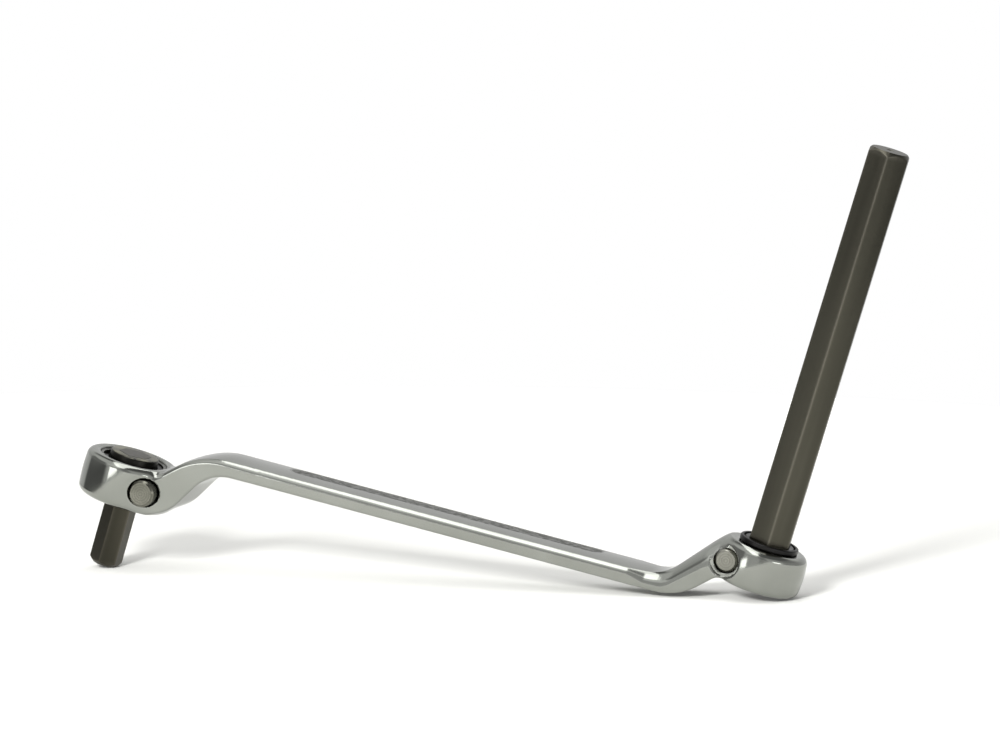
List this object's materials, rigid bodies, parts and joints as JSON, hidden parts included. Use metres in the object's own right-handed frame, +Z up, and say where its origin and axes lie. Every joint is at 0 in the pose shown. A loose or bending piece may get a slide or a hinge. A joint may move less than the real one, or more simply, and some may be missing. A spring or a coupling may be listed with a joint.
{
  "type": "ratchet spanner",
  "caption": "Cranked ratchet spanner with a ring head at each end, a long hexagon key in one head, a short hexagon key in the other, and push-through reversing pins in the necks.",
  "frame": {"origin": "middle of the bottom face of the object's box, on the surface that it stands on", "axes": "+X from the short key to the long key, +Y across the handle, away from the picture's camera, +Z up"},
  "size_m": [0.1758, 0.0196, 0.091],
  "materials": {
    "chrome_plate": "satin chrome plate on forged steel",
    "gunmetal": "dark brown oxide on hardened steel",
    "black_oxide": "black oxide on steel",
    "ground_steel": "ground and hardened steel",
    "seal_rubber": "soft black rubber"
  },
  "bodies": {
    "body": {"spanner_body": "chrome_plate", "long_key_seal": "seal_rubber", "long_key_thrust_washer": "ground_steel", "long_key_snap_ring": "black_oxide", "long_key_detent_spring": "ground_steel", "short_key_seal": "seal_rubber", "short_key_thrust_washer": "ground_steel", "short_key_snap_ring": "black_oxide", "short_key_detent_spring": "ground_steel"},
    "long_key_drive": {"long_key": "gunmetal", "long_key_gear": "black_oxide", "long_key_cross_pin": "ground_steel", "long_key_collar": "black_oxide"},
    "short_key_drive": {"short_key": "gunmetal", "short_key_gear": "black_oxide", "short_key_cross_pin": "ground_steel", "short_key_collar": "black_oxide"},
    "long_key_pin": {"long_key_pawl_pin": "ground_steel"},
    "short_key_pin": {"short_key_pawl_pin": "ground_steel"},
    "long_key_ball": {"long_key_detent_ball": "ground_steel"},
    "short_key_ball": {"short_key_detent_ball": "ground_steel"}
  },
  "joints": [
    {"name": "long_key_spin", "type": "hinge", "parent": "body", "child": "long_key_drive", "pos_m": [0.05858, 0, 0.0064], "axis": [0.2916, 0, 0.9565], "continuous": true},
    {"name": "short_key_spin", "type": "hinge", "parent": "body", "child": "short_key_drive", "pos_m": [-0.07742, 0, 0.0188], "axis": [-0.2916, 0, -0.9565], "continuous": true},
    {"name": "long_key_pin_push", "type": "slide", "parent": "body", "child": "long_key_pin", "axis": [0, 1, 0], "range_m": [-0.003, 0]},
    {"name": "short_key_pin_push", "type": "slide", "parent": "body", "child": "short_key_pin", "axis": [0, 1, 0], "range_m": [0, 0.003]},
    {"name": "long_key_ball_lift", "type": "slide", "parent": "body", "child": "long_key_ball", "axis": [-0.961, 0, -0.2764], "range_m": [0, 0.00035], "stiffness_N_per_m": 1000, "springref_m": -0.0006, "deforming": ["long_key_detent_spring"]},
    {"name": "short_key_ball_lift", "type": "slide", "parent": "body", "child": "short_key_ball", "axis": [0.961, 0, 0.2764], "range_m": [0, 0.00035], "stiffness_N_per_m": 1000, "springref_m": -0.0006, "deforming": ["short_key_detent_spring"]}
  ]
}
